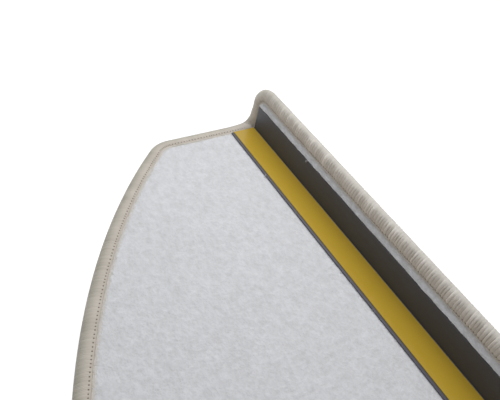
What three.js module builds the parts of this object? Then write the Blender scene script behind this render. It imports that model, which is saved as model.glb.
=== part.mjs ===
// Anti slip stair tread mat: it lies pile side down with its fleece up, and its nose lip stands up
import * as THREE from "three";

// Sizes in millimetres. x runs along the stair nose, y from the lip to the curved back edge
const matLength = 650; // over the binding
const treadDepth = 231.6; // lip's fleece face to the middle of the back edge
const sideDepth = 85.5; // lip's fleece face to where the back curve would meet a side
const backCornerRadius = 24.5; // where the back edge meets the sides
const lipCornerRadius = 17.5;
const carpetThickness = 7.1; // fleece face to pile face
const fleeceThickness = 2;

const bindingWidth = 9.6; // bound edge to the row of needle holes
const bindingProud = 0.8; // yarn above the fleece face
const bindingRound = 2.8; // rounding of the bound edge
const bindingSlope = 2.2; // where the yarn runs down into the needle holes
const edgeYarn = 2.2; // yarn outside the carpet's cut edge
const fleecePress = 1; // how far the stitch presses the fleece down
const pilePress = 2.1; // how far the stitch presses the pile down
const wrapPitch = 8; // from one raised group of yarn turns to the next
const wrapDepth = 0.35;
const stitchClearance = 0.3;

const profileWall = 1.2;
const flatLeg = 23.2; // over the heel
const uprightLeg = 22.6; // over the heel
const heelRadius = 1.2;
const innerFillet = 0.5;
const legEdgeRadius = 0.3;
const lipStrip = 6.9; // bare fleece between the upright leg and the binding
const endGap = 1.7; // bare fleece between the profile's ends and the binding

const bondThickness = 0.2; // tape that holds the profile on the fleece
const bondWidth = 19;
const bondEdgeGap = 1; // tape to the free edge of its leg
const mountTapeThickness = 0.25; // tape that holds the mat on the stair
const mountTapeWidth = 19;
const linerWidth = 19.3;
const linerThickness = 0.12;
const linerGap = 0.7; // liner to the upright leg
const endFoldRadius = 8; // inside the fold at the mat's two ends, where no profile shapes it

// Facets
const cornerSteps = 6;
const foldSteps = 6;
const backSteps = 17;
const heelSteps = 3;

// Worked out from the sizes
const halfLength = matLength / 2;
const foldY = -(profileWall + bondThickness); // the lip's fleece face; the upright leg's inner face is y = 0
const foldRadius = heelRadius + bondThickness;
const legTop = bondThickness + uprightLeg;
const lipHeight = legTop + lipStrip + bindingWidth;
const tongueInset = edgeYarn + stitchClearance;
const rebateInset = bindingWidth + stitchClearance;
const innerCorner = lipCornerRadius - bindingWidth;
const lipCornerU = halfLength - lipCornerRadius;
const legCornerReach = Math.sqrt(innerCorner ** 2 - Math.max(0, innerCorner - lipStrip) ** 2);
const profileHalf = Math.min(halfLength - bindingWidth - endGap, lipCornerU + legCornerReach);
const profileInset = halfLength - profileHalf;

// The fold takes the flat blank's u, v and depth below the fleece face to x, y, z.
// v is 0 at the fold line, positive on the tread and negative up the lip.
function foldRadiusAt(u) {
  const past = Math.max(0, Math.abs(u) - profileHalf) / (halfLength - profileHalf);
  return foldRadius + (endFoldRadius - foldRadius) * past;
}

function fold(u, v, depth) {
  const radius = foldRadiusAt(u);
  if (v >= radius) return [u, foldY + v, -depth];
  if (v <= -radius) return [u, foldY - depth, -v];
  const angle = (Math.PI / 4) * (1 - v / radius);
  const reach = radius + depth;
  return [u, foldY + radius - reach * Math.sin(angle), radius - reach * Math.cos(angle)];
}

// Runs of the blank's edge, each with its point and outward direction at a share f of its length.
// A point of the fold also holds its turn, from -1 at the lip to 1 at the tread.
function straightRun(u0, v0, u1, v1) {
  const length = Math.hypot(u1 - u0, v1 - v0);
  const outU = (v1 - v0) / length;
  const outV = (u0 - u1) / length;
  return { length, at: (f) => ({ u: u0 + (u1 - u0) * f, v: v0 + (v1 - v0) * f, outU, outV }) };
}

function arcRun(centreU, centreV, radius, start, end) {
  const at = (f) => {
    const angle = start + (end - start) * f;
    const outU = Math.cos(angle);
    const outV = Math.sin(angle);
    return { u: centreU + radius * outU, v: centreV + radius * outV, outU, outV };
  };
  return { length: radius * Math.abs(end - start), at };
}

function foldRun() {
  const straight = straightRun(halfLength, -endFoldRadius, halfLength, endFoldRadius);
  return { length: straight.length, at: (f) => ({ ...straight.at(f), turn: 2 * f - 1 }) };
}

// A point at an inset from the blank's edge and a depth below the fleece face
function place(point, inset, depth) {
  const u = point.u - point.outU * inset;
  const v = "turn" in point ? point.turn * foldRadiusAt(u) : point.v - point.outV * inset;
  return fold(u, v, depth);
}

// One half of the edge, from the middle of the lip's top round an end to the middle of the back
const backSagitta = treadDepth - sideDepth;
const backRadius = (halfLength ** 2 + backSagitta ** 2) / (2 * backSagitta);
const backCentreV = treadDepth - backRadius;
const lipCornerV = lipCornerRadius - lipHeight;
const backCornerU = halfLength - backCornerRadius;
const backCornerV = backCentreV + Math.sqrt((backRadius - backCornerRadius) ** 2 - backCornerU ** 2);
const backCornerAngle = Math.atan2(backCornerV - backCentreV, backCornerU);

const lipTop = straightRun(0, -lipHeight, lipCornerU, -lipHeight);
const lipCorner = arcRun(lipCornerU, lipCornerV, lipCornerRadius, -Math.PI / 2, 0);
const lipSide = straightRun(halfLength, lipCornerV, halfLength, -endFoldRadius);
const foldSide = foldRun();
const treadSide = straightRun(halfLength, endFoldRadius, halfLength, backCornerV);
const backCorner = arcRun(backCornerU, backCornerV, backCornerRadius, 0, backCornerAngle);
const backEdge = arcRun(0, backCentreV, backRadius, backCornerAngle, Math.PI / 2);

function evenShares(count) {
  return Array.from({ length: count }, (_, i) => i / count);
}

function points(run, shares) {
  return shares.map((f) => run.at(f));
}

function mirrored(half) {
  return half.map((p) => ({ ...p, u: -p.u, outU: -p.outU })).reverse();
}

// Closed surfaces from rings of points: rings[j][k] is point k of ring j
function surface(rings, ringsMeet, fillEnds) {
  const count = rings[0].length;
  const position = rings.flat(2);
  const index = [];
  const quad = (a, b, c, d) => index.push(a, b, c, a, c, d);
  const strips = ringsMeet ? rings.length : rings.length - 1;
  for (let j = 0; j < strips; j++) {
    const here = j * count;
    const next = ((j + 1) % rings.length) * count;
    for (let k = 0; k < count; k++) {
      const far = (k + 1) % count;
      quad(here + k, here + far, next + far, next + k);
    }
  }
  if (fillEnds) {
    const last = (rings.length - 1) * count;
    for (let i = 0; i < count / 2 - 1; i++) {
      const across = count - 1 - i;
      quad(across, across - 1, i + 1, i);
      quad(last + i, last + i + 1, last + across - 1, last + across);
    }
  }
  const geometry = new THREE.BufferGeometry();
  geometry.setAttribute("position", new THREE.Float32BufferAttribute(position, 3));
  geometry.setIndex(index);
  return facingOut(geometry);
}

// Turns every triangle round if the surface encloses a negative volume
function facingOut(geometry) {
  const at = geometry.attributes.position;
  const index = geometry.index;
  const corner = [0, 1, 2].map(() => new THREE.Vector3());
  let volume = 0;
  for (let i = 0; i < index.count; i += 3) {
    corner.forEach((p, j) => p.fromBufferAttribute(at, index.getX(i + j)));
    volume += corner[0].dot(corner[1].cross(corner[2]));
  }
  if (volume < 0) index.array.reverse();
  geometry.computeVertexNormals();
  return geometry;
}

// A carpet layer: full thickness inside the binding, pressed thinner under it.
// The layers meet at bondDepth with the same facets.
function carpetLayer(faceDepth, pressedDepth, bondDepth) {
  const half = [
    ...points(lipCorner, evenShares(cornerSteps)),
    ...points(lipSide, [0]),
    ...points(foldSide, [...evenShares(foldSteps), 1]),
    ...points(treadSide, [1 / 2]),
    ...points(backCorner, evenShares(cornerSteps)),
    ...points(backEdge, Array.from({ length: backSteps + 1 }, (_, i) => i / (backSteps + 1 / 2))),
  ];
  const loop = [...half, ...mirrored(half)];
  const section = [
    [profileInset, faceDepth],
    [rebateInset, faceDepth],
    [rebateInset, pressedDepth],
    [tongueInset, pressedDepth],
    [tongueInset, bondDepth],
    [rebateInset, bondDepth],
    [profileInset, bondDepth],
  ];
  const rings = section.map(([inset, depth]) => loop.map((p) => place(p, inset, depth)));
  return surface(rings, false, true);
}

// The overlocked edge: yarn turns lie close round the whole edge and take its pressed tongue in
function bindingGeometry() {
  const turns = (run) => evenShares(Math.max(1, Math.round(run.length / (wrapPitch / 2))));
  const half = [
    ...points(lipTop, turns(lipTop)),
    ...points(lipCorner, turns(lipCorner)),
    ...points(lipSide, turns(lipSide)),
    ...points(foldSide, [...evenShares(foldSteps), 1]),
    ...points(treadSide, turns(treadSide).slice(1)),
    ...points(backCorner, turns(backCorner)),
    ...points(backEdge, turns(backEdge)),
  ];
  const loop = [...half, backEdge.at(1), ...mirrored(half.slice(1))];
  const fleeceWall = fleecePress - stitchClearance;
  const pileWall = carpetThickness - pilePress + stitchClearance;
  const shoulder = bindingRound / 4;
  const middleDepth = (carpetThickness - bindingProud) / 2;
  const slant = Math.SQRT1_2;
  // inset from the edge, depth below the fleece face, and which way a raised turn lifts the point
  const section = [
    [bindingWidth, fleeceWall, 0, 0],
    [bindingWidth - bindingSlope, -bindingProud, 0, -1],
    [bindingRound, -bindingProud, 0, -1],
    [shoulder, bindingRound - shoulder * 2 - bindingProud, -slant, -slant],
    [0, middleDepth, -1, 0],
    [shoulder, carpetThickness - bindingRound + shoulder * 2, -slant, slant],
    [bindingRound, carpetThickness, 0, 1],
    [bindingWidth, carpetThickness, 0, 1],
    [bindingWidth, pileWall, 0, 0],
    [edgeYarn, pileWall, 0, 0],
    [edgeYarn, fleeceWall, 0, 0],
  ];
  const rings = section.map(([inset, depth, liftInset, liftDepth]) =>
    loop.map((p, k) => {
      const sunk = k % 2 === 0 ? 0 : wrapDepth;
      return place(p, inset - liftInset * sunk, depth - liftDepth * sunk);
    }),
  );
  return surface(rings, true, false);
}

// The plastic angle: a drawn section, rounded at its heel, its fillet and its free edges
function profileGeometry() {
  const base = bondThickness;
  const toe = flatLeg - profileWall;
  const seat = base + profileWall;
  const edge = legEdgeRadius;
  const shape = new THREE.Shape();
  shape.moveTo(heelRadius - profileWall, base);
  shape.lineTo(toe - edge, base);
  shape.absarc(toe - edge, base + edge, edge, -Math.PI / 2, 0);
  shape.absarc(toe - edge, seat - edge, edge, 0, Math.PI / 2);
  shape.lineTo(innerFillet, seat);
  shape.absarc(innerFillet, seat + innerFillet, innerFillet, -Math.PI / 2, -Math.PI, true);
  shape.absarc(-edge, legTop - edge, edge, 0, Math.PI / 2);
  shape.absarc(edge - profileWall, legTop - edge, edge, Math.PI / 2, Math.PI);
  shape.absarc(heelRadius - profileWall, base + heelRadius, heelRadius, Math.PI, Math.PI * 1.5);
  const geometry = new THREE.ExtrudeGeometry(shape, {
    depth: 2 * profileHalf,
    bevelEnabled: false,
    curveSegments: heelSteps,
  });
  geometry.translate(0, 0, -profileHalf);
  // the section's own x, y and length become the mat's y, z and x
  const along = new THREE.Vector3(1, 0, 0);
  const across = new THREE.Vector3(0, 1, 0);
  const up = new THREE.Vector3(0, 0, 1);
  return geometry.applyMatrix4(new THREE.Matrix4().makeBasis(across, up, along));
}

// A strip of tape or paper as long as the profile, between two corners of its section
function stripGeometry(y0, z0, y1, z1) {
  const geometry = new THREE.BoxGeometry(2 * profileHalf, y1 - y0, z1 - z0);
  return geometry.translate(0, (y0 + y1) / 2, (z0 + z1) / 2);
}

const finishes = {
  pile: new THREE.MeshStandardMaterial({ color: 0xa89c8b, roughness: 0.97, metalness: 0 }),
  fleece: new THREE.MeshStandardMaterial({ color: 0xcfcfd2, roughness: 0.95, metalness: 0 }),
  yarn: new THREE.MeshStandardMaterial({ color: 0xb3aa9d, roughness: 0.9, metalness: 0 }),
  plastic: new THREE.MeshStandardMaterial({ color: 0x3d3a38, roughness: 0.45, metalness: 0 }),
  tape: new THREE.MeshStandardMaterial({ color: 0xd8d2be, roughness: 0.4, metalness: 0 }),
  liner: new THREE.MeshStandardMaterial({ color: 0xb39a3e, roughness: 0.35, metalness: 0 }),
};

const mat = new THREE.Group();
// the floor is z = 0, and the middle of the mat's footprint is the origin
mat.position.set(0, -(foldY + (treadDepth - carpetThickness) / 2), carpetThickness);

function addPiece(name, geometry, finish) {
  const mesh = new THREE.Mesh(geometry, finish);
  mesh.name = name;
  mat.add(mesh);
}

const pressedPile = carpetThickness - pilePress;
addPiece("pile_face", carpetLayer(carpetThickness, pressedPile, fleeceThickness), finishes.pile);
addPiece("fleece_backing", carpetLayer(0, fleecePress, fleeceThickness), finishes.fleece);
addPiece("edge_binding", bindingGeometry(), finishes.yarn);
addPiece("angle_profile", profileGeometry(), finishes.plastic);

const bondToe = flatLeg - profileWall - bondEdgeGap;
const bondTop = legTop - bondEdgeGap;
const flatBond = stripGeometry(bondToe - bondWidth, 0, bondToe, bondThickness);
const uprightBond = stripGeometry(foldY, bondTop - bondWidth, foldY + bondThickness, bondTop);
addPiece("bond_tape_flat", flatBond, finishes.tape);
addPiece("bond_tape_upright", uprightBond, finishes.tape);

const tapeBase = bondThickness + profileWall;
const tapeTop = tapeBase + mountTapeThickness;
const tapeStart = linerGap + (linerWidth - mountTapeWidth) / 2;
const mountTape = stripGeometry(tapeStart, tapeBase, tapeStart + mountTapeWidth, tapeTop);
const liner = stripGeometry(linerGap, tapeTop, linerGap + linerWidth, tapeTop + linerThickness);
addPiece("mounting_tape", mountTape, finishes.tape);
addPiece("release_liner", liner, finishes.liner);

const stairTreadMat = new THREE.Group();
stairTreadMat.add(mat);

export default stairTreadMat;
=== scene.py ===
# Anti slip stair tread mat, lying on its pile with the fleece side up
import math

import bpy
import numpy as np
from mathutils import Matrix, Vector


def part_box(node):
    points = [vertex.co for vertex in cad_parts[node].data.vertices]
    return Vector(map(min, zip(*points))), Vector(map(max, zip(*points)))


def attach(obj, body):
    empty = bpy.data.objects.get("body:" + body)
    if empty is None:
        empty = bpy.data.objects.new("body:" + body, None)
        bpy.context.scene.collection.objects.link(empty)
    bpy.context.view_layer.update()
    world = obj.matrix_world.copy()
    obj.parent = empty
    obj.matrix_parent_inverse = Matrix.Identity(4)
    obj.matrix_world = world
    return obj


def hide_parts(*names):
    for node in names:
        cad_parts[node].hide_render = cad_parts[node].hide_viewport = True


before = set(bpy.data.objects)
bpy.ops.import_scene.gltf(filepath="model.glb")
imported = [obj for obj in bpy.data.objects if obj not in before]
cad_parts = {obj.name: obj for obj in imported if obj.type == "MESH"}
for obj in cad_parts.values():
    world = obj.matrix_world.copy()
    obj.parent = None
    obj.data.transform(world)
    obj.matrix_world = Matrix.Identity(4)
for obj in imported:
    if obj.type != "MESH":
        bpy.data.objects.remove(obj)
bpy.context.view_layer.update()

mm = 0.001

# Sizes of the mat, read off the solids where they show them
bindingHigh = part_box("edge_binding")[1]
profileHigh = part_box("angle_profile")[1]
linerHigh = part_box("release_liner")[1]
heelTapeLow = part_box("bond_tape_upright")[0]
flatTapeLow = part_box("bond_tape_flat")[0]

mat = {
    "halfLength": bindingHigh[0],
    "profileHalf": profileHigh[0],
    "foldY": heelTapeLow[1],  # fleece face of the lip
    "fleeceZ": flatTapeLow[2],  # fleece face of the tread
    "lipCorner": 17.5 * mm,
    "backCorner": 24.5 * mm,
    "sideDepth": 85.5 * mm,  # where the back curve would meet a side
    "fleeceThickness": 2 * mm,
    "foldRadius": 1.4 * mm,
    "endFoldRadius": 8 * mm,
    "lipReach": 1.1 * mm,  # how much further in the binding reaches on the lip
}
mat["thickness"] = mat["fleeceZ"]
mat["treadDepth"] = bindingHigh[1] - mat["foldY"]
mat["lipHeight"] = bindingHigh[2] - mat["fleeceZ"]


def rowLengths(vectors):
    return np.linalg.norm(vectors, axis=1)[:, None]


# The blank of the mat: u along the nose, v from the fold, depth below the fleece face
def foldRadiusAt(u):
    past = (np.abs(u) - mat["profileHalf"]) / (mat["halfLength"] - mat["profileHalf"])
    return mat["foldRadius"] + (mat["endFoldRadius"] - mat["foldRadius"]) * np.clip(past, 0, 1)


def folded(u, v, depth):
    radius = foldRadiusAt(u)
    angle = math.pi / 4 * (1 - np.clip(v / radius, -1, 1))
    reach = radius + depth
    y = mat["foldY"] + radius - reach * np.sin(angle) + np.maximum(v - radius, 0)
    z = mat["fleeceZ"] + radius - reach * np.cos(angle) + np.maximum(-v - radius, 0)
    return np.stack([u + 0 * y, y, z], -1)


def straightRun(u0, v0, u1, v1):
    length = math.hypot(u1 - u0, v1 - v0)
    out = ((v1 - v0) / length, (u0 - u1) / length)
    return length, lambda f: (u0 + (u1 - u0) * f, v0 + (v1 - v0) * f, *out, math.nan)


def arcRun(centreU, centreV, radius, start, end):
    def at(f):
        angle = start + (end - start) * f
        cos, sin = math.cos(angle), math.sin(angle)
        return centreU + radius * cos, centreV + radius * sin, cos, sin, math.nan
    return radius * (end - start), at


def foldRun(u, reach):
    return 2 * reach, lambda f: (u, (2 * f - 1) * reach, 1, 0, 2 * f - 1)


# One half of the edge, from the middle of the lip's top to the middle of the back
sagitta = mat["treadDepth"] - mat["sideDepth"]
backRadius = (mat["halfLength"] ** 2 + sagitta ** 2) / (2 * sagitta)
backCentreV = mat["treadDepth"] - backRadius
lipCornerU = mat["halfLength"] - mat["lipCorner"]
lipCornerV = mat["lipCorner"] - mat["lipHeight"]
backCornerU = mat["halfLength"] - mat["backCorner"]
backCornerV = backCentreV + math.sqrt((backRadius - mat["backCorner"]) ** 2 - backCornerU ** 2)
backCornerAngle = math.atan2(backCornerV - backCentreV, backCornerU)
edgeRuns = [
    straightRun(0, -mat["lipHeight"], lipCornerU, -mat["lipHeight"]),
    arcRun(lipCornerU, lipCornerV, mat["lipCorner"], -math.pi / 2, 0),
    straightRun(mat["halfLength"], lipCornerV, mat["halfLength"], -mat["endFoldRadius"]),
    foldRun(mat["halfLength"], mat["endFoldRadius"]),
    straightRun(mat["halfLength"], mat["endFoldRadius"], mat["halfLength"], backCornerV),
    arcRun(backCornerU, backCornerV, mat["backCorner"], 0, backCornerAngle),
    arcRun(0, backCentreV, backRadius, backCornerAngle, math.pi / 2),
]
halfEdge = sum(length for length, _ in edgeRuns)
lipEdge = sum(length for length, _ in edgeRuns[:2])  # along the lip's top
foldStart = sum(length for length, _ in edgeRuns[:3])


def edgePoint(distance):
    distance = distance % (2 * halfEdge)
    side = 1
    if distance > halfEdge:
        side, distance = -1, 2 * halfEdge - distance
    for length, at in edgeRuns:
        if distance <= length:
            break
        distance -= length
    u, v, outU, outV, turn = at(min(distance / length, 1))
    return side * u, v, side * outU, outV, turn


# 1 along the lip's top and 0 on the tread, with a soft change past the lip's corners
def lipShare(distances):
    past = np.minimum(distances, 2 * halfEdge - distances) - lipEdge
    return np.clip(0.25 - past / (90 * mm), 0, 1)


# Points at insets from the edge and depths below the fleece face, for distances along the edge
def placed(distances, insets, depths):
    u, v, outU, outV, turn = np.array([edgePoint(d) for d in distances]).T
    u = u - outU * insets
    v = np.where(np.isnan(turn), v - outV * insets, turn * foldRadiusAt(u))
    return folded(u, v, depths)


# Half the blank's width at v, with an inset from its edge
def halfWidth(v, inset):
    lipCorner, backCorner = mat["lipCorner"] - inset, mat["backCorner"] - inset
    if v < lipCornerV:
        return lipCornerU + math.sqrt(max(lipCorner ** 2 - (v - lipCornerV) ** 2, 0))
    if v < backCornerV:
        return mat["halfLength"] - inset
    if v < backCornerV + backCorner * math.sin(backCornerAngle):
        return backCornerU + math.sqrt(backCorner ** 2 - (v - backCornerV) ** 2)
    return math.sqrt(max((backRadius - inset) ** 2 - (v - backCentreV) ** 2, 0))


# Places along the edge, and the way from each to a place further in or deeper
def directed(distances, insets, depths, inward, deeper):
    start = placed(distances, insets, depths)
    way = placed(distances, insets + inward, depths + deeper) - start
    return start, way / rowLengths(way)


# How far a point of the blank lies from its edge
def edgeInset(u, v):
    side = mat["halfLength"] - np.abs(u)
    top = v + mat["lipHeight"]
    back = backRadius - np.hypot(u, v - backCentreV)
    inset = np.minimum(np.minimum(side, top), back)
    corner = mat["lipCorner"] - np.hypot(np.abs(u) - lipCornerU, v - lipCornerV)
    return np.where((np.abs(u) > lipCornerU) & (v < lipCornerV), corner, inset)


# Wires of a node tree, so that shaders and relief are written as expressions
class Wire:
    def __init__(self, graph, socket):
        self.graph, self.socket = graph, socket

    def maths(self, operation, *values):
        inputs = dict(enumerate(values))
        return self.graph.add("ShaderNodeMath", {"operation": operation}, inputs)(0)

    def __add__(self, other):
        return self.maths("ADD", self, other)

    def __sub__(self, other):
        return self.maths("SUBTRACT", self, other)

    def __rsub__(self, other):
        return self.maths("SUBTRACT", other, self)

    def __mul__(self, other):
        return self.maths("MULTIPLY", self, other)

    def __truediv__(self, other):
        return self.maths("DIVIDE", self, other)

    def __pow__(self, other):
        return self.maths("POWER", self, other)

    __radd__ = __add__
    __rmul__ = __mul__

    def abs(self):
        return self.maths("ABSOLUTE", self)

    def floor(self):
        return self.maths("FLOOR", self)

    def fract(self):
        return self.maths("FRACT", self)

    def sqrt(self):
        return self.maths("SQRT", self)

    # 0 below low and 1 above high, or the other way round if low is the larger
    def between(self, low, high):
        settings = {"interpolation_type": "SMOOTHSTEP"}
        return self.graph.add("ShaderNodeMapRange", settings, {"Value": self, 1: low, 2: high})(0)


# A colour as a socket takes it, with its alpha
def opaque(colour):
    return colour if isinstance(colour, Wire) else (*colour, 1)


class Graph:
    def __init__(self, tree):
        self.tree = tree

    def add(self, kind, settings=None, values=None):
        node = self.tree.nodes.new(kind)
        for name, value in (settings or {}).items():
            setattr(node, name, value)
        for name, value in (values or {}).items():
            socket = node.inputs[name]
            if isinstance(value, Wire):
                self.tree.links.new(value.socket, socket)
            else:
                socket.default_value = value
        return lambda name=0: Wire(self, node.outputs[name])

    def mix(self, factor, first, second):
        values = {0: factor, 6: opaque(first), 7: opaque(second)}
        return self.add("ShaderNodeMix", {"data_type": "RGBA"}, values)(2)

    def noise(self, vector, scale, detail=2.0, roughness=0.5, dimensions="3D"):
        values = {"Scale": scale, "Detail": detail, "Roughness": roughness}
        values["W" if dimensions == "1D" else "Vector"] = vector
        return self.add("ShaderNodeTexNoise", {"noise_dimensions": dimensions}, values)(0)

    def stretched(self, vector, scale):
        values = {"Vector": vector, "Scale": scale}
        return self.add("ShaderNodeMapping", None, values)(0)

    def combined(self, x, y, z=0.0):
        return self.add("ShaderNodeCombineXYZ", None, {0: x, 1: y, 2: z})(0)

    # a random share from 0 to 1 for each whole value
    def chance(self, value):
        return self.add("ShaderNodeTexWhiteNoise", {"noise_dimensions": "1D"}, {"W": value})(0)

    # the place on the object, and a number kept on its points, for materials
    def spot(self):
        return self.add("ShaderNodeTexCoord")("Object")

    def field(self, name):
        return self.add("ShaderNodeAttribute", {"attribute_name": name})("Fac")


def newMaterial(name, base, surface=None):
    material = bpy.data.materials.new(name)
    material.use_nodes = True
    material.diffuse_color = (*base, 1)
    graph = Graph(material.node_tree)
    shader = material.node_tree.nodes["Principled BSDF"]
    for key, value in (surface or {}).items():
        shader.inputs[key].default_value = value
    return material, graph, shader


def link(graph, wire, node, name):
    graph.tree.links.new(wire.socket, node.inputs[name])


def bumped(graph, shader, height, distance, strength=1.0):
    values = {"Height": height, "Distance": distance, "Strength": strength}
    link(graph, graph.add("ShaderNodeBump", None, values)(0), shader, "Normal")


# Camera
camera = {
    "place": (51.575 * mm, 104.756 * mm, 260.539 * mm),
    "azimuth": -41.474,
    "elevation": -44.706,
    "roll": 14.864,
    "lens": 36,
    "sensor": 36,
}


def makeCamera():
    azimuth, elevation, roll = (math.radians(camera[k]) for k in ("azimuth", "elevation", "roll"))
    level = math.cos(elevation)
    ahead = Vector((level * math.cos(azimuth), level * math.sin(azimuth), math.sin(elevation)))
    sideways = ahead.cross(Vector((0, 0, 1))).normalized()
    upright = sideways.cross(ahead)
    right = math.cos(roll) * sideways + math.sin(roll) * upright
    up = math.cos(roll) * upright - math.sin(roll) * sideways
    data = bpy.data.cameras.new("photoCamera")
    data.lens, data.sensor_width = camera["lens"], camera["sensor"]
    data.clip_start = 0.01
    eye = bpy.data.objects.new("photoCamera", data)
    turned = Matrix((right, up, -ahead)).transposed().to_4x4()
    eye.matrix_world = Matrix.Translation(camera["place"]) @ turned
    bpy.context.scene.collection.objects.link(eye)
    bpy.context.scene.camera = eye


# Meshes
def addPiece(name, vertices, faces, material, uvs=None, attributes=None):
    mesh = bpy.data.meshes.new(name)
    mesh.from_pydata([tuple(v) for v in vertices], [], [tuple(f) for f in faces])
    if uvs is not None:
        layer = mesh.uv_layers.new(name="turns")
        corners = np.empty(len(mesh.loops), dtype=np.int32)
        mesh.loops.foreach_get("vertex_index", corners)
        layer.data.foreach_set("uv", np.asarray(uvs, dtype=np.float32)[corners].ravel())
    for key, values in (attributes or {}).items():
        values = np.asarray(values, dtype=np.float32)
        kind = "FLOAT" if values.ndim == 1 else "FLOAT_VECTOR"
        field = "value" if values.ndim == 1 else "vector"
        mesh.attributes.new(key, kind, "POINT").data.foreach_set(field, values.ravel())
    mesh.materials.append(material)
    piece = bpy.data.objects.new(name, mesh)
    bpy.context.scene.collection.objects.link(piece)
    return piece


def gridFaces(rows, columns, closeRows=False, closeColumns=False):
    i = np.arange(rows if closeRows else rows - 1)
    j = np.arange(columns if closeColumns else columns - 1)
    i, j = (a.ravel() for a in np.meshgrid(i, j, indexing="ij"))
    below, right = (i + 1) % rows, (j + 1) % columns
    corners = [i * columns + j, i * columns + right, below * columns + right, below * columns + j]
    return np.stack(corners, 1)


# A relief tree with named inputs; fill gets the graph and the inputs and returns the geometry
def reliefTree(name, numbers, fill):
    tree = bpy.data.node_groups.new(name, "GeometryNodeTree")
    tree.interface.new_socket("Geometry", in_out="INPUT", socket_type="NodeSocketGeometry")
    identifiers = {}
    for key, value in numbers.items():
        socket = tree.interface.new_socket(key, in_out="INPUT", socket_type="NodeSocketFloat")
        socket.default_value = value
        identifiers[key] = socket.identifier
    finish = tree.interface.new_socket("Finish", in_out="INPUT", socket_type="NodeSocketMaterial")
    identifiers["Finish"] = finish.identifier
    tree.interface.new_socket("Geometry", in_out="OUTPUT", socket_type="NodeSocketGeometry")
    graph = Graph(tree)
    inputs = graph.add("NodeGroupInput")
    filled = fill(graph, inputs)
    real = graph.add("GeometryNodeRealizeInstances", None, {"Geometry": filled})(0)
    values = {"Geometry": real, "Material": inputs("Finish")}
    dressed = graph.add("GeometryNodeSetMaterial", None, values)(0)
    output = tree.nodes.new("NodeGroupOutput")
    tree.links.new(dressed.socket, output.inputs[0])
    return tree, identifiers


# The piece's mesh as the tree makes it, with no modifier left
def shaped(piece, name, values, fill, material):
    tree, identifiers = reliefTree(name, values, fill)
    modifier = piece.modifiers.new(name, "NODES")
    modifier.node_group = tree
    for key, value in values.items():
        modifier[identifiers[key]] = value
    modifier[identifiers["Finish"]] = material
    bpy.context.view_layer.update()
    evaluated = piece.evaluated_get(bpy.context.evaluated_depsgraph_get())
    mesh = bpy.data.meshes.new_from_object(evaluated)
    piece.modifiers.clear()
    old = piece.data
    piece.data = mesh
    mesh.name = piece.name
    bpy.data.meshes.remove(old)


def attribute(graph, name, kind="FLOAT"):
    return graph.add("GeometryNodeInputNamedAttribute", {"data_type": kind}, {"Name": name})(0)


def randomBetween(graph, low, high, seed):
    values = {2: low, 3: high, "Seed": seed}
    return graph.add("FunctionNodeRandomValue", {"data_type": "FLOAT"}, values)(1)


# The surface moved outwards by an amount
def lifted(graph, inputs, amount):
    values = {0: attribute(graph, "lift", "FLOAT_VECTOR"), "Scale": amount}
    offset = graph.add("ShaderNodeVectorMath", {"operation": "SCALE"}, values)(0)
    values = {"Geometry": inputs("Geometry"), "Offset": offset}
    return graph.add("GeometryNodeSetPosition", None, values)(0)


# Copies of a shape on the points, turned to each point's heading
def scattered(graph, inputs, shape, scale):
    values = {"Vector": attribute(graph, "heading", "FLOAT_VECTOR")}
    aligned = graph.add("FunctionNodeAlignRotationToVector", {"axis": "X"}, values)(0)
    values = {"Points": inputs("Geometry"), "Instance": shape, "Rotation": aligned, "Scale": scale}
    return graph.add("GeometryNodeInstanceOnPoints", None, values)(0)


# Faces turned outwards, where the mesh is inside out
def turnOutwards(piece):
    mesh = piece.data
    mesh.update()
    coordinates = np.empty(len(mesh.vertices) * 3)
    mesh.vertices.foreach_get("co", coordinates)
    points = coordinates.reshape(-1, 3)
    mesh.calc_loop_triangles()
    triangles = np.empty(len(mesh.loop_triangles) * 3, dtype=np.int32)
    mesh.loop_triangles.foreach_get("vertices", triangles)
    a, b, c = (points[triangles.reshape(-1, 3)[:, k]] for k in range(3))
    if (a * np.cross(b, c)).sum() < 0:
        mesh.flip_normals()


def smooth(piece, angle=None):
    piece.data.shade_smooth()
    if angle is not None:
        piece.data.set_sharp_from_angle(angle=math.radians(angle))


# Finishes. A pair of colours is the darkest and the lightest of a mottling
mottling = {
    "fluff": ((0.66, 0.66, 0.67), (0.82, 0.82, 0.83)),
    "thread": ((0.58, 0.545, 0.495), (0.82, 0.775, 0.715)),
    "pile": ((0.30, 0.26, 0.20), (0.52, 0.47, 0.40)),
    "liner": ((0.505, 0.328, 0.028), (0.585, 0.39, 0.042)),
    "tape": ((0.50, 0.47, 0.37), (0.62, 0.59, 0.50)),
}
matt = {"Roughness": 0.95, "Specular IOR Level": 0.2}

fleeceLook = {
    "fibre": ((0.65, 0.657, 0.675), (0.77, 0.779, 0.81)),
    "fringe": (0.64, 0.615, 0.565),  # yarn fibres beside the binding
    # painted shade on the fleece under the yarn's edge, tinted like the yarn
    "underYarn": (0.58, 0.54, 0.49),
    "lipStart": -18 * mm,
    "lipFull": -22 * mm,
}


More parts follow.
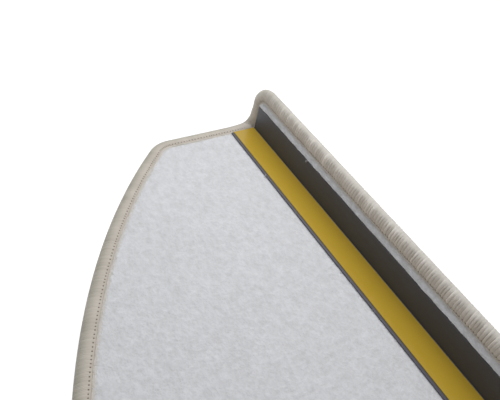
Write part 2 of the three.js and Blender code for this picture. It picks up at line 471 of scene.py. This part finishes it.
def fleeceFinish():
    material, graph, shader = newMaterial("whiteFleece", (0.66, 0.665, 0.68), matt)
    spot = graph.spot()
    lumps = graph.noise(spot, 220, 3, 0.6)
    fibres = graph.noise(spot, 1100, 3, 0.7)
    broad = graph.noise(spot, 45, 2)
    raised = graph.field("blankV").between(fleeceLook["lipStart"], fleeceLook["lipFull"])
    tone = ((lumps - 0.5) * 1.9 + (broad - 0.5) * 0.4) * (raised + 1) + (fibres - 0.5) * 0.6
    tone = tone + (graph.noise(spot, 420, 2) - 0.5) * (raised * 1.6 + 1)
    light = graph.mix(tone + 0.5, *fleeceLook["fibre"])
    inset = graph.field("inset")
    fringe = inset.between(12.8, 10.8) * graph.noise(spot, 800, 2).between(0.35, 0.6)
    light = graph.mix(fringe * (0.8 - raised * 0.45), light, fleeceLook["fringe"])
    # painted shade on the fleece under the yarn's edge, less than 10 mm from the edge
    colour = graph.mix(inset.between(10.2, 9.9), light, fleeceLook["underYarn"])
    link(graph, colour, shader, "Base Color")
    bumped(graph, shader, fibres * 0.12 + lumps, 1.2 * mm, 0.8)
    return material


def fluffFinish():
    material, graph, shader = newMaterial("looseFibre", (0.7, 0.7, 0.71), {"Roughness": 0.9})
    tone = graph.noise(graph.spot(), 300, 2)
    link(graph, graph.mix(tone, *mottling["fluff"]), shader, "Base Color")
    return material


yarnLook = {
    # lit and shaded copies of one yarn, painted light and shade: the tread's rim painted darker as
    # shade, the lip's yarn painted lighter, its rim most
    "tones": {
        "treadInner": ((0.485, 0.445, 0.385), (0.735, 0.68, 0.61)),
        "treadRimShaded": ((0.38, 0.36, 0.30), (0.575, 0.545, 0.475)),
        "lipInnerLit": ((0.55, 0.49, 0.42), (0.86, 0.785, 0.70)),
        "lipRimLit": ((0.60, 0.57, 0.515), (0.78, 0.75, 0.695)),
    },
    # painted shade between the turns and along the needle thread
    "cleftShade": (0.22, 0.19, 0.155),
    # painted shade in the needle holes
    "hole": (0.15, 0.11, 0.085),
    "needleRow": 1.95,  # from the yarn's inner edge to the needle holes, in mm
    "needleLipShift": 0.25,
    "surface": {
        "Roughness": 0.8,
        "Specular IOR Level": 0.3,
        "Sheen Weight": 0.5,
        "Sheen Roughness": 0.35,
    },
}


# How far a point of the yarn lies past the row of needle holes, in mm
def pastNeedle(across, lip):
    return across - yarnLook["needleRow"] + lip * yarnLook["needleLipShift"]


def yarnFinish():
    material, graph, shader = newMaterial("bindingYarn", (0.42, 0.37, 0.30), yarnLook["surface"])
    both = graph.add("ShaderNodeUVMap", {"uv_map": "turns"})(0)
    parts = graph.add("ShaderNodeSeparateXYZ", None, {0: both})
    turn, across = parts(0), parts(1)  # turns along the edge, and mm round the section
    lip, calm = graph.field("lip"), graph.field("calm")
    # each turn has its own tone, and so do pairs, groups and the strands of a turn
    own = graph.chance(turn.floor())
    pair = graph.chance((turn * 0.5).floor())
    group = graph.noise(turn, 0.16, 3, 0.6, "1D")
    drift = graph.noise(graph.combined(turn * 0.5, across * 0.12), 1, 2)
    strand = turn * 3 + (drift - 0.5) * 2.4
    strandOwn = graph.chance(strand.floor())
    streak = graph.noise(graph.combined(turn * 9, across * 0.3), 1, 3, 0.65)
    tone = (own ** 3 - 0.25) * (lip * 0.75 + 0.1) + (pair - 0.5) * (lip * 0.5 + 0.1)
    tone = tone + (group - 0.5) * (1.1 - lip * 0.9) + (strandOwn - 0.5) * 0.3 + (streak - 0.5) * 0.4
    # on the lip's rim the tones fade together, painted light that washes out the ribs
    contrast = across.between(4.5, 9.5) * 0.55 + 0.5 - across.between(9, 12) * lip * 0.7
    tone = tone * contrast + 0.5
    tones = {name: graph.mix(tone, *ends) for name, ends in yarnLook["tones"].items()}
    # painted light and shade: the yarn is lighter on the lip, most at its rim, and darker on the
    # tread's rim
    inner = graph.mix(lip, tones["treadInner"], tones["lipInnerLit"])
    rim = graph.mix(lip, tones["treadRimShaded"], tones["lipRimLit"])
    colour = graph.mix(across.between(lip * 2.5 + 3, lip * 1.5 + 9.5), inner, rim)
    # painted shade: darker between the turns and in the groove that the needle thread draws in
    fromMiddle = (turn.fract() - 0.5).abs()
    cleftShade = fromMiddle.between(0.36, 0.5) * (lip * 0.35 + 0.05)
    cleftShade = cleftShade * across.between(11, 8) * across.between(2, 5)
    needle = pastNeedle(across, lip)
    furrowShade = (needle + 0.5).abs().between(2.0, 0.2) * (lip * 0.26 + 0.02)
    colour = graph.mix(cleftShade + furrowShade * calm, colour, yarnLook["cleftShade"])
    # painted shade in the needle holes: dark dots along the needle row
    hole = needle.abs().between(lip * 0.5 + 0.6, 0.2) * fromMiddle.between(0.3, 0.4)
    colour = graph.mix(hole * calm * (1 - lip * 0.35), colour, yarnLook["hole"])
    link(graph, colour, shader, "Base Color")
    ridge = 1 - ((strand.fract() - 0.5) * 2) ** 2
    bumped(graph, shader, ridge * 0.5 + streak * 0.7, 0.25 * mm, 0.7)
    return material


def threadFinish():
    material, graph, shader = newMaterial("needleThread", (0.46, 0.41, 0.35), {"Roughness": 0.85})
    fuzzy = graph.noise(graph.spot(), 1800, 3, 0.7)
    link(graph, graph.mix(fuzzy, *mottling["thread"]), shader, "Base Color")
    bumped(graph, shader, fuzzy, 0.2 * mm)
    return material


def pileFinish():
    material, graph, shader = newMaterial("loopPile", (0.42, 0.37, 0.30), matt)
    spot = graph.spot()
    fleck = graph.noise(spot, 260, 3, 0.6)
    broad = graph.noise(spot, 24, 2)
    fibre = graph.noise(spot, 2200, 2)
    tone = (fleck - 0.5) * 1.1 + (broad - 0.5) * 0.5 + (fibre - 0.5) * 0.4 + 0.5
    link(graph, graph.mix(tone, *mottling["pile"]), shader, "Base Color")
    bumped(graph, shader, fibre * 0.4 + fleck, 0.6 * mm)
    return material


plasticLook = {
    "face": ((0.040, 0.043, 0.055), (0.058, 0.060, 0.072)),
    "marginPaintedLight": (0.07, 0.066, 0.086),  # painted light: the flat strip between the liner and the toe, lighter than the upright face
    # painted light: the toe's narrow front face, lighter than the upright face
    "toe": (0.085, 0.08, 0.1),
}


def plasticFinish():
    material, graph, shader = newMaterial("darkPlastic", (0.05, 0.044, 0.04))
    spot = graph.spot()
    drawn = graph.noise(graph.stretched(spot, (3, 600, 600)), 1, 3, 0.6)
    cloud = graph.noise(spot, 35, 3, 0.6)
    dark = graph.mix((drawn - 0.5) * 0.5 + (cloud - 0.5) * 0.6 + 0.5, *plasticLook["face"])
    depth = graph.add("ShaderNodeSeparateXYZ", None, {0: spot})(1)
    # painted light: the flat strip and the toe's front face are lighter than the upright face of the
    # same plastic
    marginPaintedLight = depth.between(linerHigh[1], linerHigh[1] + 0.3 * mm)
    toe = depth.between(profileHigh[1] - 0.3 * mm, profileHigh[1] - 0.05 * mm)
    dark = graph.mix(marginPaintedLight, dark, plasticLook["marginPaintedLight"])
    link(graph, graph.mix(toe, dark, plasticLook["toe"]), shader, "Base Color")
    link(graph, (cloud - 0.5) * 0.12 + 0.42, shader, "Roughness")
    bumped(graph, shader, drawn, 0.06 * mm, 0.6)
    return material


def linerFinish():
    material, graph, shader = newMaterial("linerPaper", (0.52, 0.38, 0.05))
    spot = graph.spot()
    cloud = graph.noise(graph.stretched(spot, (0.5, 1, 1)), 60, 3, 0.6)
    grain = graph.noise(spot, 1400, 2)
    tone = (cloud - 0.5) * 0.5 + (grain - 0.5) * 0.2 + 0.5
    link(graph, graph.mix(tone, *mottling["liner"]), shader, "Base Color")
    link(graph, (cloud - 0.5) * 0.06 + 0.13, shader, "Roughness")
    bumped(graph, shader, cloud + grain * 0.03, 0.1 * mm, 0.5)
    return material


def tapeFinish():
    material, graph, shader = newMaterial("adhesiveFilm", (0.55, 0.52, 0.42))
    streak = graph.noise(graph.stretched(graph.spot(), (20, 300, 300)), 1, 2)
    link(graph, graph.mix(streak, *mottling["tape"]), shader, "Base Color")
    link(graph, streak * 0.2 + 0.25, shader, "Roughness")
    return material


print("finishes")
whiteFleece = fleeceFinish()
looseFibre = fluffFinish()
bindingYarn = yarnFinish()
needleThread = threadFinish()
loopPile = pileFinish()
darkPlastic = plasticFinish()
linerPaper = linerFinish()
adhesiveFilm = tapeFinish()
makeCamera()

# Solids that are shown as they are
plainSolids = {
    "angle_profile": darkPlastic,
    "release_liner": linerPaper,
    "mounting_tape": adhesiveFilm,
    "bond_tape_flat": adhesiveFilm,
    "bond_tape_upright": adhesiveFilm,
}
for node, material in plainSolids.items():
    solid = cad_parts[node]
    solid.data.materials.clear()
    solid.data.materials.append(material)


# Carpet layers: rows across the blank, folded, with a fine face and a plain back
carpet = {
    "inset": 6 * mm,  # of both layers from the mat's edge, which the yarn wraps
    "crowding": 1.15,  # closer columns near the ends, where the fold widens
    "underYarn": 10.5,  # inset in mm at which the yarn starts to press on a layer
    "yarnSlope": 0.9,
    "lipStart": -20 * mm,  # above the fold
}


def layerRows(steps):
    top = carpet["inset"] - mat["lipHeight"]
    reach = mat["endFoldRadius"]
    apex = mat["treadDepth"] - carpet["inset"] - steps["apex"]
    parts = [
        np.linspace(top, -reach, max(2, round((-reach - top) / steps["lip"])), endpoint=False),
        np.linspace(-reach, reach, steps["fold"], endpoint=False),
        np.linspace(reach, apex, round((apex - reach) / steps["tread"])),
    ]
    if "close" in steps:
        parts.append(np.linspace(*steps["close"]))
    return np.unique(np.concatenate(parts))


def layerPiece(name, material, layer):
    rows = layerRows(layer["steps"])
    spread = np.linspace(-1, 1, layer["steps"]["columns"])
    spread = np.sign(spread) * (1 - (1 - np.abs(spread)) ** carpet["crowding"])
    u = np.array([halfWidth(v, carpet["inset"]) for v in rows])[:, None] * spread
    v = np.repeat(rows[:, None], len(spread), 1)
    # the binding reaches further in on the lip, and what lies beside it moves along
    reached = mat["lipReach"] / mm * lipShare(np.abs(u)) * (v < carpet["lipStart"])
    distance = edgeInset(u, v) / mm - reached
    share = np.clip((carpet["underYarn"] - distance) / carpet["yarnSlope"], 0, 1)
    face = folded(u, v, layer["faceDepth"] + layer["pressed"] * share)
    back = folded(u, v, mat["fleeceThickness"])
    vertices = np.concatenate([face.reshape(-1, 3), back.reshape(-1, 3)])
    count, columns = len(rows), len(spread)
    total = count * columns
    faces = gridFaces(count, columns)
    index = np.arange(total).reshape(count, columns)
    rim = np.concatenate([index[0, :-1], index[:-1, -1], index[-1, :0:-1], index[:0:-1, 0]])
    after = np.roll(rim, -1)
    walls = np.stack([rim, after, after + total, rim + total], 1)
    allFaces = np.concatenate([faces[:, ::-1], faces + total, walls])
    lift = (face - back).reshape(-1, 3)
    lift /= rowLengths(lift)
    fields = {
        "lift": np.concatenate([lift, lift * 0]),
        "inset": np.tile(distance.ravel(), 2),
        "blankU": np.tile(u.ravel(), 2),
        "blankV": np.tile(v.ravel(), 2),
    }
    piece = addPiece(name, vertices, allFaces, material, None, fields)
    turnOutwards(piece)
    return piece


print("fleece")
fleece = {
    "steps": {
        "lip": 1.2 * mm,
        "fold": 22,
        "tread": 2.9 * mm,
        "columns": 362,
        "apex": 0.4 * mm,
        "close": (-24.5 * mm, -22.65 * mm, 14),  # closer rows beside the angle's top edge
    },
    "faceDepth": 0,  # below the fleece face
    "pressed": 0.7 * mm,  # how much deeper the face lies under the yarn
    "legTop": profileHigh[2] - mat["fleeceZ"],
    "relief": {"Relief": 0.22 * mm, "Lumps": 190.0, "Swell": 1.4 * mm},
}


def fleeceRelief(graph, inputs):
    spot = graph.add("GeometryNodeInputPosition")(0)
    lumps = graph.noise(spot, inputs("Lumps"), 2, 0.6)
    # the fleece bulges out over the angle's top edge
    above = attribute(graph, "blankV") * -1000 - fleece["legTop"] / mm
    beside = above.between(0, 0.35) * above.between(4.5, 0.5)
    uneven = graph.noise(spot, 130, 2) * 0.8 + graph.noise(spot, 380, 1) * 0.6 + 0.2
    swell = uneven * beside * inputs("Swell")
    return lifted(graph, inputs, (lumps - 0.5) * inputs("Relief") + swell)


fleecePiece = layerPiece("fleece", whiteFleece, fleece)
shaped(fleecePiece, "fleeceRelief", fleece["relief"], fleeceRelief, whiteFleece)
smooth(fleecePiece, 40)
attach(fleecePiece, "root")
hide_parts("fleece_backing")


print("pile")
pile = {
    "steps": {"lip": 1.2 * mm, "fold": 22, "tread": 3.4 * mm, "columns": 440, "apex": 0.4 * mm},
    "faceDepth": mat["thickness"],
    "pressed": -1.2 * mm,
    "loops": {"Loop length": 3.6 * mm, "Loop width": 2.9 * mm, "Loop height": 0.9 * mm},
}


def pileLoops(graph, inputs):
    along = attribute(graph, "blankU") / inputs("Loop length")
    across = attribute(graph, "blankV") / inputs("Loop width")
    values = {"Vector": graph.combined(along, across), "Scale": 1.0, "Randomness": 0.55}
    nearest = graph.add("ShaderNodeTexVoronoi", {"voronoi_dimensions": "2D"}, values)(0)
    return lifted(graph, inputs, nearest.between(0.1, 0.75) * inputs("Loop height") * -1)


pilePiece = layerPiece("pile", loopPile, pile)
shaped(pilePiece, "pileLoops", pile["loops"], pileLoops, loopPile)
smooth(pilePiece, 60)
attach(pilePiece, "root")
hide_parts("pile_face")


print("binding")
binding = {
    "treadPitch": 2.38 * mm,  # between needle holes
    "lipPitch": 2.18 * mm,
    "stations": 6,  # across one turn of yarn
    "unevenness": 0.4,
    "lean": 0.9 * mm,
    "turnsPerLean": 5,
    "nudge": 0.1 * mm,  # a short step outwards, which shows the way of the relief
    "seed": 11,
    "relief": {"Relief": 0.42 * mm, "Slack": 0.29 * mm, "Needle dip": 0.5 * mm},
    # inset from the edge, depth below the fleece face and how free the yarn is there, in mm
    "section": [
        (9.8, 0.6, 0), (9.5, 0.0, 0.2), (8.9, -0.35, 0.4), (7.5, -0.8, 0.6), (5.8, -0.9, 0.78),
        (4.2, -0.55, 0.95), (2.8, 0.1, 1), (1.6, 1.0, 0.7), (0.85, 2.1, 0.35), (0.45, 3.4, 0.2),
        (0.8, 5.0, 0.3), (1.7, 6.4, 0.4), (3.0, 7.0, 0.3), (5.0, 7.1, 0.2), (7.8, 7.1, 0.2),
        (9.6, 7.05, 0.2), (10.2, 6.4, 0), (9.2, 5.2, 0), (2.4, 3.2, 0), (9.2, 1.1, 0),
    ],
    "rim": 9,  # the outermost point of the section
    "stretch": {"from": 3, "to": 8.5, "depth": 2},  # insets that reach further in on the lip, in mm
}

# The yarn is bunched in the fold: how far it stands out, at places from the fold's start, in mm
swelling = {
    "places": (-34, -27, -18, -9, 0, 6, 12, 20, 28),
    "growth": (0, 0.2, 0.7, 0.8, 1.5, 1.7, 1.3, 0.4, 0),
}


# Where each turn of yarn begins along the edge
def turnStarts():
    draw = np.random.default_rng(binding["seed"])
    starts, here = [], 0.0
    while here < 2 * halfEdge:
        starts.append(here)
        onLip = min(here, 2 * halfEdge - here) < lipEdge
        pitch = binding["lipPitch"] if onLip else binding["treadPitch"]
        here += pitch * (1 + binding["unevenness"] * (draw.random() - 0.5))
    return np.array(starts) * (2 * halfEdge / here)


def turnWidths(starts):
    return np.diff(np.append(starts, 2 * halfEdge))


def foldSwelling(distances):
    fromFold = np.minimum(distances, 2 * halfEdge - distances) - foldStart
    return np.interp(fromFold / mm, swelling["places"], swelling["growth"])


# The way out of the section at each of its points: a quarter turn from its tangent
def sectionOutward(outline):
    tangent = np.roll(outline, -1, 0) - np.roll(outline, 1, 0)
    outward = np.stack([tangent[:, 1], -tangent[:, 0]], 1)
    outward /= rowLengths(outward)
    return -outward if outward[binding["rim"], 0] > 0 else outward


# How far the turns lean over at each place, by groups
def turnLeans(turns, count):
    draw = np.random.default_rng(binding["seed"] + 1)
    knots = np.linspace(0, count, count // binding["turnsPerLean"])
    leans = draw.uniform(0.3, 1.7, len(knots))
    leans[-1] = leans[0]
    return binding["lean"] * np.interp(turns, knots, leans)


def bindingPiece(starts):
    shares = np.arange(binding["stations"]) / binding["stations"]
    distances = (starts[:, None] + turnWidths(starts)[:, None] * shares).ravel()
    turns = (np.arange(len(starts))[:, None] + shares).ravel()
    section = np.array(binding["section"])
    outline = section[:, :2]
    along = np.concatenate([[0], np.cumsum(rowLengths(np.diff(outline, axis=0)))])
    middle = along[binding["rim"]]
    lean = turnLeans(turns, len(starts))
    swell, onLip = foldSwelling(distances), lipShare(distances)
    part = binding["stretch"]
    stretch = np.clip((outline[:, 0] - part["from"]) / (part["to"] - part["from"]), 0, 1)
    stretch = stretch * (outline[:, 1] < part["depth"])
    points, lifts, uvs = [], [], []
    for (inset, depth, ease), out, reach, far in zip(section, sectionOutward(outline), along, stretch):
        at = distances + lean * (reach - middle) / middle
        grown = swell * (ease if inset > 7 else min(1, ease + 0.5))
        insets = (inset + grown * out[0]) * mm + mat["lipReach"] * far * onLip
        depths = (depth + grown * out[1]) * mm
        here, lift = directed(at, insets, depths, *(out * binding["nudge"]))
        points.append(here)
        lifts.append(lift)
        uvs.append(np.stack([turns, np.full_like(turns, reach)], 1))
    rows, columns = len(section), len(distances)
    faces = gridFaces(rows, columns, True, True)
    fields = {
        "turn": np.tile(turns, rows),
        "lip": np.tile(onLip, rows),
        "free": np.repeat(section[:, 2], columns),
        "lift": np.concatenate(lifts),
        "across": np.repeat(along, columns),
        "calm": np.tile(np.clip(1 - swell, 0, 1), rows),
    }
    piece = addPiece("binding", np.concatenate(points), faces, bindingYarn, np.concatenate(uvs), fields)
    turnOutwards(piece)
    return piece


# Rounded turns of yarn, some of them raised or slack, with dips at the needle holes
def yarnTurns(graph, inputs):
    turn, across = attribute(graph, "turn"), attribute(graph, "across")
    lip = attribute(graph, "lip")
    share = turn.fract()
    crest = (1 - (share * 2 - 1) ** 2).sqrt()
    pairCrest = 1 - ((turn * 0.5).fract() * 2 - 1) ** 2
    own, pair = graph.chance(turn.floor()), graph.chance((turn * 0.5).floor())
    uneven = graph.chance(turn.floor() + 0.5)
    group = graph.noise(turn, 0.22, 2, 0.5, "1D")
    raised = own ** 3 * crest * 1.1 + pair ** 2 * pairCrest * 1.1 - 0.3
    slack = (raised + (group - 0.5) * 0.8) * inputs("Slack") * (lip + 0.2)
    valley = (crest - 1) * inputs("Relief") * (lip * 0.75 + 0.25) * (uneven * 0.8 + 0.5)
    needle = pastNeedle(across, lip).abs()
    hole = needle.between(0.8, 0.2) * (share - 0.5).abs().between(0.25, 0.45)
    dip = (hole + needle.between(1.5, 0.2) * lip * 0.3) * inputs("Needle dip")
    free, calm = attribute(graph, "free"), attribute(graph, "calm")
    return lifted(graph, inputs, (valley + slack) * free - dip * calm)


turnBegins = turnStarts()
bindingRing = bindingPiece(turnBegins)
shaped(bindingRing, "yarnTurns", binding["relief"], yarnTurns, bindingYarn)
# the yarn is pressed flat where the mat lies on it
for vertex in bindingRing.data.vertices:
    vertex.co.z = max(vertex.co.z, 0)
smooth(bindingRing, 75)
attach(bindingRing, "root")
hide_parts("edge_binding")


print("needle thread")
stitches = {
    "inset": 10.2 * mm,
    "lipShift": 0.55 * mm,
    "depth": 0.2 * mm,
    "nudge": 0.1 * mm,
    "shares": (0.17, 0.5, 0.83),  # places of the bites in a turn
    "seed": 5,
    "bites": {"Radius": 0.55 * mm, "Length": 0.95 * mm},
}


# Points along the row of needle holes, with the direction into the fleece
def stitchRail():
    widths = turnWidths(turnBegins)
    places = np.concatenate([turnBegins + widths * share for share in stitches["shares"]])
    onLip = lipShare(places)
    inset = stitches["inset"] + stitches["lipShift"] * onLip
    outer = placed(places, inset - stitches["nudge"], stitches["depth"])
    inner = placed(places, inset + stitches["nudge"], stitches["depth"])
    fields = {"heading": (inner - outer) / rowLengths(inner - outer), "size": 1 - 0.1 * onLip}
    return addPiece("needle_thread", (inner + outer) / 2, [], needleThread, None, fields)


def stitchBites(graph, inputs):
    values = {"Segments": 6, "Rings": 4, "Radius": 1.0}
    ball = graph.add("GeometryNodeMeshUVSphere", None, values)(0)
    size = attribute(graph, "size")
    radius = inputs("Radius") * randomBetween(graph, 0.8, 1.2, stitches["seed"]) * size
    length = inputs("Length") * randomBetween(graph, 0.7, 1.4, stitches["seed"] + 1) * size
    return scattered(graph, inputs, ball, graph.combined(length, radius, radius))


threadPiece = stitchRail()
shaped(threadPiece, "stitchBites", stitches["bites"], stitchBites, needleThread)
smooth(threadPiece)
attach(threadPiece, "root")


print("fuzz")
fuzz = {
    "radius": 0.05 * mm,
    "length": 1.1 * mm,
    "seed": 21,
    "besideAngle": 900,  # fibres along each free edge of the angle
    "besideYarn": 3600,
    "onYarn": 700,
    "perSpeck": 90,
    # place and size of each speck of fluff, in mm
    "specks": [
        ((245.5, -110.4, 29.7), 1.3),
        ((260.4, -88.4, 8.6), 0.9),
        ((-71, -110.5, 29.7), 1.2),
        ((-188, 12, 7.4), 0.8),
        ((33, -88.4, 8.6), 0.8),
    ],
}
fibreSizes = {"Thickness": fuzz["radius"] / fuzz["length"], "Length": fuzz["length"]}


def fibres(graph, inputs):
    values = {"Resolution": 4, "Start": (0, 0, 0), "Middle": (0.55, 0.25, 0), "End": (1, 0, 0)}
    path = graph.add("GeometryNodeCurveQuadraticBezier", None, values)(0)
    values = {"Resolution": 3, "Radius": inputs("Thickness")}
    ring = graph.add("GeometryNodeCurvePrimitiveCircle", None, values)(0)
    values = {"Curve": path, "Profile Curve": ring, "Fill Caps": True}
    fibre = graph.add("GeometryNodeCurveToMesh", None, values)(0)
    length = inputs("Length") * randomBetween(graph, 0.5, 1.5, fuzz["seed"])
    return scattered(graph, inputs, fibre, attribute(graph, "size") * length)


# Loose fibres from where they start, with the way they mostly point and how long they are
def fuzzPiece(name, places, headings, size, material):
    draw = np.random.default_rng(fuzz["seed"] + len(places))
    headings = headings + draw.normal(0, 0.8, places.shape)
    fields = {"heading": headings / rowLengths(headings), "size": size}
    piece = addPiece(name, places, [], material, None, fields)
    shaped(piece, "fibres", fibreSizes, fibres, material)
    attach(piece, "root")


# Fleece fibres beside the angle's free edges, and the specks of fluff caught on it
def fleeceFuzz():
    draw = np.random.default_rng(fuzz["seed"])
    count = fuzz["besideAngle"]
    x = draw.uniform(-mat["profileHalf"], mat["profileHalf"], count)
    topY = mat["foldY"] + draw.uniform(0, 0.4, count) * mm
    topZ = profileHigh[2] + draw.uniform(0.1, 0.9, count) * mm
    toeX = draw.permutation(x)
    toeY = profileHigh[1] + draw.uniform(0.1, 0.9, count) * mm
    toeZ = mat["fleeceZ"] + draw.uniform(-0.1, 0.3, count) * mm
    tops, toes = np.stack([x, topY, topZ], 1), np.stack([toeX, toeY, toeZ], 1)
    spots = (fuzz["perSpeck"], 3)
    fluff = np.concatenate([
        np.array(place) * mm + draw.normal(0, 0.33 * size, spots) * mm
        for place, size in fuzz["specks"]
    ])
    places = np.concatenate([tops, toes, fluff])
    headings = np.concatenate([
        np.tile((0, 0.7, 0.2), (count, 1)),
        np.tile((0, -0.5, 0.5), (count, 1)),
        np.zeros_like(fluff),
    ])
    size = np.concatenate([np.full(2 * count, 1.0), np.full(len(fluff), 0.5)])
    fuzzPiece("fleece_fuzz", places, headings, size, looseFibre)


# Yarn fibres over the fleece beside the binding, and a few on its crest
def yarnFuzz():
    draw = np.random.default_rng(fuzz["seed"] + 7)
    count, few = fuzz["besideYarn"], fuzz["onYarn"]
    beside = draw.uniform(0, 2 * halfEdge, count)
    insets = draw.uniform(10.9, 12.0, count) * mm
    depths = draw.uniform(-0.1, 0.1, count) * mm
    insets = insets + 0.6 * mm * lipShare(beside)
    over = draw.uniform(0, 2 * halfEdge, few)
    fringe, inward = directed(beside, insets, depths, 0.1 * mm, 0)
    crest, outward = directed(over, 2.6 * mm, -0.7 * mm, -0.4 * mm, -0.3 * mm)
    places, headings = np.concatenate([fringe, crest]), np.concatenate([inward, outward])
    size = np.concatenate([np.full(count, 0.8), np.full(few, 0.6)])
    fuzzPiece("yarn_fuzz", places, headings, size, needleThread)


fleeceFuzz()
yarnFuzz()


print("floor and light")
stage = {
    "floorSize": 6,
    "floorDrop": 0.2 * mm,
    "floorColour": (0.85, 0.85, 0.85),
    "shadowShare": 0.22,  # how much of the floor's own shading is seen
    "glow": 1.25,
    "sky": 0.245,
}
lamps = {
    "key": {"place": (0.36, -0.15, 0.53), "size": 0.5, "power": 2.68},
    "rear": {"place": (0.15, -1.1, 0.4), "size": 0.8, "power": 0.6},
}


# 1 where the background is seen, straight, in a surface or through one
def seenRays(graph):
    rays = graph.add("ShaderNodeLightPath")
    return rays("Is Camera Ray") + rays("Is Glossy Ray") + rays("Is Transmission Ray")


def floorFinish():
    surface = {"Base Color": opaque(stage["floorColour"]), "Roughness": 0.9}
    material, graph, shader = newMaterial("paleFloor", stage["floorColour"], surface)
    values = {"Color": (1, 1, 1, 1), "Strength": stage["glow"]}
    glow = graph.add("ShaderNodeEmission", None, values)(0)
    share = seenRays(graph) * (1 - stage["shadowShare"])
    plain = Wire(graph, shader.outputs[0])
    both = graph.add("ShaderNodeMixShader", None, {0: share, 1: plain, 2: glow})(0)
    link(graph, both, graph.tree.nodes["Material Output"], "Surface")
    return material


def floorPiece():
    reach = stage["floorSize"] / 2
    signs = ((-1, -1), (1, -1), (1, 1), (-1, 1))
    corners = [(x * reach, y * reach, -stage["floorDrop"]) for x, y in signs]
    return addPiece("floor", corners, [(0, 1, 2, 3)], floorFinish())


def makeSky():
    world = bpy.data.worlds.new("studio")
    world.use_nodes = True
    bpy.context.scene.world = world
    graph = Graph(world.node_tree)
    background = world.node_tree.nodes["Background"]
    background.inputs["Color"].default_value = (1, 1, 1, 1)
    strength = seenRays(graph) * (1 - stage["sky"]) + stage["sky"]
    link(graph, strength, background, "Strength")


# A square lamp that shines at the middle of the mat
def areaLamp(name, place, size, power):
    data = bpy.data.lights.new(name, "AREA")
    data.size, data.energy = size, power
    lamp = bpy.data.objects.new(name, data)
    lamp.location = place
    lamp.rotation_euler = (-Vector(place)).to_track_quat("-Z", "Y").to_euler()
    bpy.context.scene.collection.objects.link(lamp)


floor = floorPiece()
makeSky()
for name, lamp in lamps.items():
    areaLamp(name, **lamp)

bpy.context.scene.view_settings.view_transform = "Standard"
